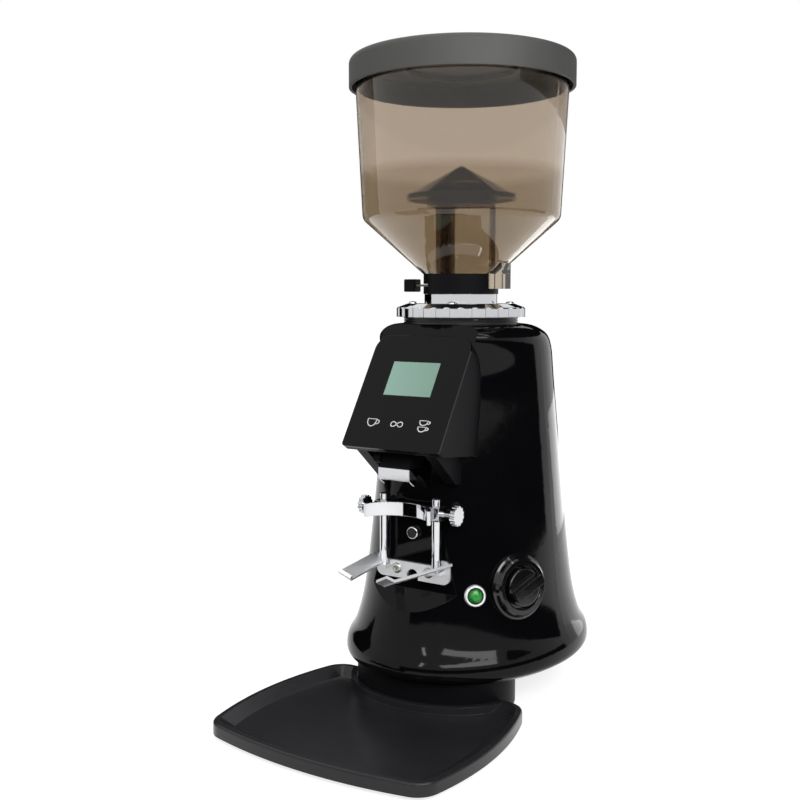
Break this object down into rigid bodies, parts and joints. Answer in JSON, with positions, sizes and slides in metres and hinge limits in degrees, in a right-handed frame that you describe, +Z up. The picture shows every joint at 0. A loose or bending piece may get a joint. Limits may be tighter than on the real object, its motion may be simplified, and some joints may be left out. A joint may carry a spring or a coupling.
{
  "type": "burr coffee grinder",
  "caption": "On-demand burr coffee grinder: bell-shaped body, conical-bottomed clear hopper, tilted touch panel, spout, portafilter fork and catch tray.",
  "frame": {"origin": "on the counter, under the axis that the burrs, the motor and the hopper share", "axes": "+Z up, -Y towards the front with the panel and the tray, +X to the right seen from the front"},
  "size_m": [0.2424, 0.416, 0.6058],
  "materials": {
    "gloss_black_paint": "gloss lacquer over cast aluminium",
    "black_steel": "matt powder coat",
    "black_plastic": "satin",
    "tray_plastic": "semi-gloss",
    "black_aluminium": "black anodised",
    "black_rubber": "matt",
    "zinc_steel": "zinc plated",
    "hardened_steel": "ground",
    "stainless": "brushed",
    "cast_aluminium": "as cast and turned",
    "chrome": "polished",
    "smoked_plastic": "clear, smoked",
    "lid_plastic": "fine matt grain",
    "black_glass": "polished, printed black behind",
    "lcd_green": "lit display",
    "circuit_board": "solder resist",
    "lamp_green": "clear green",
    "lamination_steel": "oiled laminations",
    "copper_wire": "enamelled",
    "brass": "turned",
    "capacitor_can": "drawn can"
  },
  "bodies": {
    "stand": {"body_shell": "gloss_black_paint", "base_pan": "black_steel", "pedestal": "black_plastic", "rear_legs": "black_plastic", "rubber_feet": "black_rubber", "base_screws": "zinc_steel", "neck_collar": "black_aluminium", "chamber_screws": "zinc_steel", "grinding_chamber": "cast_aluminium", "panel_housing": "black_plastic", "touch_glass": "black_glass", "lcd_module": "lcd_green", "display_board": "circuit_board", "panel_screws": "zinc_steel", "spout_chute": "black_plastic", "spout_nose": "chrome", "fork_plate": "chrome", "fork_screws": "zinc_steel", "fork_rods": "chrome", "microswitch": "black_plastic", "lamp_bezel": "chrome", "lamp_lens": "lamp_green", "switch_bezel": "black_plastic", "rotary_switch": "black_plastic", "cable_gland": "black_plastic", "motor_top_plate": "cast_aluminium", "motor_bottom_plate": "cast_aluminium", "motor_bearings": "zinc_steel", "motor_tie_bolts": "zinc_steel", "stator_core": "lamination_steel", "stator_windings": "copper_wire", "run_capacitor": "capacitor_can", "board_standoffs": "brass", "control_board": "circuit_board"},
    "rotor": {"motor_shaft": "zinc_steel", "rotor_core": "lamination_steel", "cooling_fan": "black_plastic", "lower_burr_carrier": "cast_aluminium", "lower_burr": "hardened_steel", "lower_burr_screws": "zinc_steel", "carrier_nut": "brass"},
    "adjuster": {"adjusting_ring": "chrome", "ring_screws": "chrome", "upper_burr_carrier": "chrome", "upper_burr": "hardened_steel", "upper_burr_screws": "zinc_steel"},
    "hopper": {"hopper_bowl": "smoked_plastic", "hopper_neck": "black_plastic", "finger_guard": "smoked_plastic"},
    "lid": {"hopper_lid": "lid_plastic"},
    "gate": {"gate_plate": "stainless", "gate_knob": "black_plastic"},
    "bracket": {"rest_bracket": "chrome"},
    "thumb_left": {"thumb_screw_left": "chrome"},
    "thumb_right": {"thumb_screw_right": "chrome"},
    "button": {"start_button": "chrome"},
    "knob": {"power_knob": "black_plastic"},
    "spout_clamp": {"spout_screw": "black_plastic"},
    "tray": {"grounds_tray": "tray_plastic", "tray_pads": "black_rubber"}
  },
  "joints": [
    {"name": "rotor_spin", "type": "hinge", "parent": "stand", "child": "rotor", "pos_m": [0, 0, 0.325], "axis": [0, 0, 1], "continuous": true},
    {"name": "grind_adjust", "type": "hinge", "parent": "stand", "child": "adjuster", "pos_m": [0, 0, 0.3645], "axis": [0, 0, 1], "range_deg": [-150, 150]},
    {"name": "hopper_lift", "type": "slide", "parent": "adjuster", "child": "hopper", "axis": [0, 0, 1], "range_m": [0, 0.06]},
    {"name": "lid_lift", "type": "slide", "parent": "hopper", "child": "lid", "axis": [0, 0, 1], "range_m": [0, 0.05]},
    {"name": "gate_slide", "type": "slide", "parent": "hopper", "child": "gate", "axis": [-1, 0, 0], "range_m": [0, 0.055]},
    {"name": "bracket_slide", "type": "slide", "parent": "stand", "child": "bracket", "axis": [0, 0, 1], "range_m": [-0.033, 0.006]},
    {"name": "thumb_left_turn", "type": "hinge", "parent": "bracket", "child": "thumb_left", "pos_m": [-0.0282, -0.09104, 0.18725], "axis": [-1, 0, 0], "continuous": true},
    {"name": "thumb_right_turn", "type": "hinge", "parent": "bracket", "child": "thumb_right", "pos_m": [0.0282, -0.09104, 0.18725], "axis": [1, 0, 0], "continuous": true},
    {"name": "button_press", "type": "slide", "parent": "stand", "child": "button", "axis": [0, 1, 0], "range_m": [0, 0.003], "stiffness_N_per_m": 400, "springref_m": -0.0025},
    {"name": "power_turn", "type": "hinge", "parent": "stand", "child": "knob", "pos_m": [0.08314, -0.03617, 0.116], "axis": [0.9046, -0.4078, 0.1243], "range_deg": [0, 90]},
    {"name": "spout_clamp_turn", "type": "hinge", "parent": "stand", "child": "spout_clamp", "pos_m": [0, -0.10824, 0.236], "axis": [-1, 0, 0], "continuous": true},
    {"name": "tray_slide", "type": "slide", "parent": "stand", "child": "tray", "axis": [0, -1, 0], "range_m": [0, 0.15]}
  ]
}
